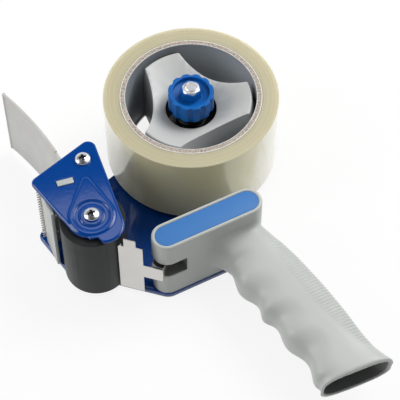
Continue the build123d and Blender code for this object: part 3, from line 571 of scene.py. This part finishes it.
# The cover plate is a smaller pressing in the same enamel. A soft tear-shaped bead stiffens it
# round the roller's screw, which sits on a boss inside a sunk ring.
roller_axis = Vector((-0.054, -0.084, 0.0))
tear_tip = Vector((-0.0583, -0.0606, 0.0))
tear_radius, waist_radius, tip_radius = 0.0136, 0.0095, 0.0040
tear_fade = (0.0008, -0.0004)
screw_seat = (0.0024, 0.0032)
pressed_above = 0.0574
top_plate = add_piece(
    "top_plate_made", welded("top_plate"), "frame", "top_plate", "blue_paint", blue_enamel
)
reskinned(top_plate, voxel=0.0003)
pressed_zone = top_plate.vertex_groups.new(name="pressed")
for vertex in top_plate.data.vertices:
    flat = Vector((vertex.co.x, vertex.co.y, 0.0))
    from_axis = (flat - roller_axis).length
    outside = min(
        from_axis - tear_radius,
        (flat - (roller_axis + tear_tip) / 2).length - waist_radius,
        (flat - tear_tip).length - tip_radius,
    )
    if vertex.co.z > pressed_above:
        mark(pressed_zone, vertex, ramp(outside, *tear_fade) * ramp(from_axis, *screw_seat))
soften(top_plate, pressed_zone, turns=14)
apply_modifiers(top_plate)
shade_by_angle(top_plate.data, angle=50.0)


# Cross-head machine screws, zinc plated, hold the cover on the spacer post and the axle.
# The same nodes hold the low-headed screws that come up through the base plate.
recess_shadow = grained(
    "recess_shadow", color=(0.16, 0.17, 0.19), shade=(0.08, 0.09, 0.10), roughness=(0.3, 0.5),
    patch_scale=400.0, grain_scale=2000.0, depth=0.00001, Metallic=0.8,
)
recess_turn = 20.0
recess_wide = 0.0058
recess_deep = 0.0019
arm_share, foot_share, foot_arm_share = 0.28, 0.45, 0.16
cut_above = 0.001


def cross_cutter(name, middle, top):
    """A closed cross that narrows downwards, to cut a driver's recess."""
    levels = (
        (top + cut_above, recess_wide, recess_wide * arm_share),
        (top - recess_deep, recess_wide * foot_share, recess_wide * foot_arm_share),
    )
    mesh = bpy.data.meshes.new(name)
    work = bmesh.new()
    for turn in (recess_turn, recess_turn + 90):
        ring = []
        for level, long, thin in levels:
            for side, end in ((-1, -1), (1, -1), (1, 1), (-1, 1)):
                spot = plan_direction(turn) * (side * long / 2) + plan_direction(turn + 90) * (end * thin / 2)
                ring.append(work.verts.new((middle.x + spot.x, middle.y + spot.y, level)))
        for corners in ((3, 2, 1, 0), (4, 5, 6, 7), (0, 1, 5, 4), (1, 2, 6, 5), (2, 3, 7, 6), (3, 0, 4, 7)):
            work.faces.new([ring[corner] for corner in corners])
    bmesh.ops.recalc_face_normals(work, faces=work.faces)
    work.to_mesh(mesh)
    work.free()
    mesh.materials.append(zinc_plate)
    mesh.materials.append(recess_shadow)
    for face in mesh.polygons:
        face.material_index = 1
    return mesh


def cut_away(piece, cutter_mesh, **settings):
    """Cut a closed shape out of a piece."""
    cutter = bpy.data.objects.new(cutter_mesh.name, cutter_mesh)
    bpy.context.scene.collection.objects.link(cutter)
    cut = piece.modifiers.new("cut", "BOOLEAN")
    cut.object = cutter
    cut.solver = "EXACT"
    for name, value in settings.items():
        setattr(cut, name, value)
    apply_modifiers(piece)
    bpy.data.objects.remove(cutter)


for name in ("spacer_screws", "axle_screws"):
    low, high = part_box(name)
    screws = add_piece(name + "_made", welded(name), "frame", name, "zinc_steel", zinc_plate)
    round_edges(screws, width=0.0002)
    recess = cross_cutter(name + "_cutter", (low + high) / 2, high.z)
    cut_away(screws, recess, use_self=True, material_mode="TRANSFER")
    shade_by_angle(screws.data)


# The hub is a grey moulding with three lobes that grip the core from inside, a dished top
# and a flange below that is open between the lobes. Its corners are softly rounded, and the
# faces of the well round the brake are coloured black as a painted shade.
hub_moulding = grained(
    "hub_moulding", color=(0.500, 0.508, 0.494), shade=(0.475, 0.483, 0.469), roughness=(0.26, 0.36),
    patch_scale=45.0, grain_scale=1500.0, depth=0.000012,
)


lobe_turn = 1.5
gap_reach = 0.0374
gap_centre = 0.08269
gap_arc = 0.0604
gap_low, gap_high = 0.0040, 0.0069
gap_facets = 24
well_radius = 0.0150
well_top = 0.0445
well_margin = 0.0003


def gap_cutter(name, turn):
    """A closed prism for the space between two lobes: a disc round the axis cut by a second disc."""
    meeting = (gap_centre ** 2 + gap_reach ** 2 - gap_arc ** 2) / (2 * gap_centre)
    half = sqrt(gap_reach ** 2 - meeting ** 2)
    outer, inner = asin(half / gap_reach), asin(half / gap_arc)
    out, aside = plan_direction(turn), plan_direction(turn + 90)
    rim = []
    for step in range(gap_facets):
        angle = outer - 2 * outer * step / gap_facets
        rim.append(out * (gap_reach * cos(angle)) + aside * (gap_reach * sin(angle)))
    for step in range(gap_facets):
        angle = -inner + 2 * inner * step / gap_facets
        rim.append(out * (gap_centre - gap_arc * cos(angle)) + aside * (gap_arc * sin(angle)))
    work = bmesh.new()
    floor_ring = [work.verts.new((point.x, point.y, gap_low)) for point in rim]
    roof_ring = [work.verts.new((point.x, point.y, gap_high)) for point in rim]
    work.faces.new(floor_ring)
    work.faces.new(roof_ring[::-1])
    for index in range(len(rim)):
        after = (index + 1) % len(rim)
        work.faces.new((floor_ring[index], roof_ring[index], roof_ring[after], floor_ring[after]))
    bmesh.ops.recalc_face_normals(work, faces=work.faces)
    mesh = bpy.data.meshes.new(name)
    work.to_mesh(mesh)
    work.free()
    return mesh


hub = add_piece("hub_made", welded("hub"), "hub", "hub", "grey_plastic", hub_moulding)
for step in range(3):
    cut_away(hub, gap_cutter("hub_gap_cutter", lobe_turn + 60 + 120 * step))
round_edges(hub, width=0.0003)
# The faces of the well round the brake take the black material, a painted shade on the grey hub.
hub.data.materials.append(black_moulding_and_shade)
for face in hub.data.polygons:
    corners = [hub.data.vertices[index].co for index in face.vertices]
    reach = max(sqrt(corner.x ** 2 + corner.y ** 2) for corner in corners)
    if reach < well_radius + well_margin and face.center.z < well_top - well_margin:
        face.material_index = 1


# The brake's coil spring is coloured near-black steel as a painted shade, for the dark hole round the knob.
# It presses the washers on the hub.
painted_shade_steel = grained(
    "painted_shade_steel", color=(0.030, 0.030, 0.032), shade=(0.020, 0.020, 0.021), roughness=(0.3, 0.45),
    patch_scale=200.0, grain_scale=2000.0, depth=0.00001, Metallic=1.0,
)
finish_nodes(painted_shade_steel, "tension_spring")


# The brake's knob is moulded in blue plastic with twelve shallow scallops, a sunk face with a
# ring round its hexagonal boss, and a bright steel nut set in the boss.
knob_moulding = grained(
    "knob_moulding", color=(0.0032, 0.112, 0.405), shade=(0.0026, 0.098, 0.360), roughness=(0.30, 0.42),
    patch_scale=90.0, grain_scale=1500.0, depth=0.000012, Specular_IOR_Level=0.2,
)
knob = add_piece("knob_made", welded("knob"), "knob", "knob", "knob_plastic", knob_moulding)
round_edges(knob, width=0.0003)
nut_zinc = grained(
    "nut_zinc", color=(0.95, 0.95, 0.96), shade=(0.60, 0.62, 0.66), roughness=(0.20, 0.62),
    patch_scale=700.0, grain_scale=3000.0, depth=0.00003, Metallic=1.0,
)
lock_nut = add_piece("lock_nut_made", welded("lock_nut"), "knob", "lock_nut", "zinc_steel", nut_zinc)
round_edges(lock_nut, width=0.00012)
finish_nodes(nut_zinc, "hub_stud")


# The tape's core is wound from grey board, with a white outer ply that shows as a thin line,
# a speckled cut end and an inner wall coloured a smooth grey-blue.
def turned(name, profile, bands, around):
    """A ring turned from a closed profile of radius and level, with one material index a band."""
    mesh = bpy.data.meshes.new(name)
    points, faces = [], []
    count = len(profile)
    for step in range(around):
        angle = 2 * pi * step / around
        points += [(radius * cos(angle), radius * sin(angle), level) for radius, level in profile]
    for step in range(around):
        here, there = step * count, (step + 1) % around * count
        for index in range(count):
            after = (index + 1) % count
            faces.append((here + index, there + index, there + after, here + after))
    mesh.from_pydata(points, [], faces)
    for face in mesh.polygons:
        face.material_index = bands[face.index % count]
    return mesh


def ring_profile(inner, outer, low, high, edge):
    """A rectangle with bevelled corners, from the inner bottom corner outwards."""
    return [
        (inner + edge, low), (outer - edge, low), (outer, low + edge), (outer, high - edge),
        (outer - edge, high), (inner + edge, high), (inner, high - edge), (inner, low + edge),
    ]


speckled_board, tree, shader = new_material("speckled_board")
board_where = tree.nodes.new("ShaderNodeTexCoord")
board_fibres = tree.nodes.new("ShaderNodeTexNoise")
board_tone = tree.nodes.new("ShaderNodeValToRGB")
board_bump = tree.nodes.new("ShaderNodeBump")
set_inputs(board_fibres, Scale=900.0, Detail=4.0, Roughness=0.7)
set_inputs(board_bump, Strength=1.0, Distance=0.00015)
set_inputs(shader, Roughness=0.9, Specular_IOR_Level=0.2)
board_tones = ((0.36, (0.16, 0.13, 0.11, 1)), (0.62, (0.54, 0.48, 0.42, 1)))
for stop, (position, color) in zip(board_tone.color_ramp.elements, board_tones):
    stop.position = position
    stop.color = color
link_sockets(
    tree,
    (board_where.outputs["Object"], board_fibres.inputs["Vector"]),
    (board_fibres.outputs["Fac"], board_tone.inputs["Fac"]),
    (board_tone.outputs["Color"], shader.inputs["Base Color"]),
    (board_fibres.outputs["Fac"], board_bump.inputs["Height"]),
    (board_bump.outputs["Normal"], shader.inputs["Normal"]),
)
white_ply = grained(
    "white_ply", color=(0.78, 0.76, 0.72), shade=(0.70, 0.68, 0.64), roughness=(0.6, 0.75),
    patch_scale=200.0, grain_scale=1500.0, depth=0.00003,
)
inner_wall_grey_blue = grained(
    "inner_wall_grey_blue", color=(0.315, 0.343, 0.372), shade=(0.268, 0.293, 0.320), roughness=(0.5, 0.66),
    patch_scale=70.0, grain_scale=900.0, depth=0.00004,
)
core_inner = 0.0381
core_outer = 0.0413
core_low, core_high = (corner.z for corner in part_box("tape_core"))
core_edge = 0.00015
mouth_edge = 0.0002
ply_below, ply_above = 0.00035, 0.00045
lining = 0.0004
core_profile = [
    (core_inner + core_edge, core_low), (core_outer - ply_below, core_low),
    (core_outer, core_low + core_edge), (core_outer, core_high - core_edge),
    (core_outer - core_edge, core_high), (core_outer - ply_above, core_high),
    (core_inner + lining, core_high), (core_inner + core_edge, core_high),
    (core_inner, core_high - mouth_edge), (core_inner, core_low + mouth_edge),
]
core_bands = [0, 1, 1, 1, 1, 0, 1, 2, 2, 2]
core_facets = 192
tape_core = add_piece(
    "tape_core_made", turned("tape_core_mesh", core_profile, core_bands, core_facets),
    "roll", "tape_core", "cardboard", speckled_board, white_ply, inner_wall_grey_blue,
)
shade_by_angle(tape_core.data)


# The tape is clear film over a straw-coloured adhesive, wound tight. Its cut sides show the
# turns as fine rings, and the outer turn is glossy with long, shallow ripples.
wound_film, given, result = value_group(
    "wound_film",
    [("Light", COLOR, (0.7, 0.66, 0.5, 1)), ("Dark", COLOR, (0.5, 0.46, 0.3, 1))],
    [("Color", COLOR), ("Height", FLOAT)],
)
where = wound_film.nodes.new("ShaderNodeTexCoord")
axes = wound_film.nodes.new("ShaderNodeSeparateXYZ")
flat = wound_film.nodes.new("ShaderNodeCombineXYZ")
radius = add_node(wound_film, "ShaderNodeVectorMath", operation="LENGTH")
turns = add_node(wound_film, "ShaderNodeTexNoise", noise_dimensions="1D")
tint = add_node(wound_film, "ShaderNodeMix", data_type="RGBA")
set_inputs(turns, Scale=1500.0, Detail=5.0, Roughness=0.7)
link_sockets(
    wound_film,
    (where.outputs["Object"], axes.inputs["Vector"]),
    (axes.outputs["X"], flat.inputs["X"]),
    (axes.outputs["Y"], flat.inputs["Y"]),
    (flat.outputs["Vector"], radius.inputs[0]),
    (radius.outputs["Value"], turns.inputs["W"]),
    (turns.outputs["Fac"], tint.inputs["Factor"]),
    (given.outputs["Light"], tint.inputs["A"]),
    (given.outputs["Dark"], tint.inputs["B"]),
    (tint.outputs["Result"], result.inputs["Color"]),
    (turns.outputs["Fac"], result.inputs["Height"]),
)

tape_side, tree, shader = new_material("tape_cut_side")
side_turns = add_node(tree, "ShaderNodeGroup", node_tree=wound_film)
side_bump = tree.nodes.new("ShaderNodeBump")
set_inputs(side_turns, Light=(0.585, 0.545, 0.385, 1), Dark=(0.36, 0.32, 0.195, 1))
set_inputs(side_bump, Strength=1.0, Distance=0.00006)
set_inputs(shader, Roughness=0.42, Specular_IOR_Level=0.5, Subsurface_Weight=0.8, Subsurface_Scale=0.010)
set_inputs(shader, Subsurface_Radius=(1.0, 1.0, 1.0))
link_sockets(
    tree,
    (side_turns.outputs["Color"], shader.inputs["Base Color"]),
    (side_turns.outputs["Height"], side_bump.inputs["Height"]),
    (side_bump.outputs["Normal"], shader.inputs["Normal"]),
)

tape_face, tree, shader = new_material("tape_outer_turn")
face_where = tree.nodes.new("ShaderNodeTexCoord")
face_stretch = tree.nodes.new("ShaderNodeMapping")
face_ripple = tree.nodes.new("ShaderNodeTexNoise")
face_angle = tree.nodes.new("ShaderNodeLayerWeight")
face_sheen_mix = add_node(tree, "ShaderNodeMath", operation="MULTIPLY_ADD")
face_edge = add_node(tree, "ShaderNodeMapRange", interpolation_type="SMOOTHSTEP")
face_tone = add_node(tree, "ShaderNodeMix", data_type="RGBA")
face_bump = tree.nodes.new("ShaderNodeBump")
ripple_stretch, ripple_sheen_share = (1.0, 1.0, 0.35), 0.35
face_stretch.inputs["Scale"].default_value = ripple_stretch
face_sheen_mix.inputs[1].default_value = ripple_sheen_share
set_inputs(face_ripple, Scale=95.0, Detail=6.0, Roughness=0.62, Distortion=0.6)
set_inputs(face_angle, Blend=0.5)
set_inputs(face_edge, From_Min=0.70, From_Max=0.92)
set_inputs(face_bump, Strength=1.0, Distance=0.00022)
# The outer turn grows pale towards its grazing edges, mixed with the ripples: a painted sheen.
straw, painted_sheen_edge = (0.74, 0.69, 0.44, 1), (0.88, 0.86, 0.75, 1)
face_tone.inputs["A"].default_value = straw
face_tone.inputs["B"].default_value = painted_sheen_edge
set_inputs(shader, Roughness=0.09, IOR=1.75)
link_sockets(
    tree,
    (face_where.outputs["Object"], face_stretch.inputs["Vector"]),
    (face_stretch.outputs["Vector"], face_ripple.inputs["Vector"]),
    (face_ripple.outputs["Fac"], face_sheen_mix.inputs[0]),
    (face_angle.outputs["Facing"], face_sheen_mix.inputs[2]),
    (face_sheen_mix.outputs["Value"], face_edge.inputs["Value"]),
    (face_edge.outputs["Result"], face_tone.inputs["Factor"]),
    (face_tone.outputs["Result"], shader.inputs["Base Color"]),
    (face_ripple.outputs["Fac"], face_bump.inputs["Height"]),
    (face_bump.outputs["Normal"], shader.inputs["Normal"]),
)
wound_gap = 0.00005
roll_inner = core_outer + wound_gap
roll_outer = 0.0510
roll_low, roll_high = (corner.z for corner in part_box("tape_roll"))
roll_edge = 0.0002
roll_profile = ring_profile(roll_inner, roll_outer, roll_low, roll_high, roll_edge)
roll_bands = [0, 0, 1, 0, 0, 0, 0, 0]
roll_facets = 256
tape_roll = add_piece(
    "tape_roll_made", turned("tape_roll_mesh", roll_profile, roll_bands, roll_facets),
    "roll", "tape_roll", "tape_film", tape_side, tape_face,
)
shade_by_angle(tape_roll.data)
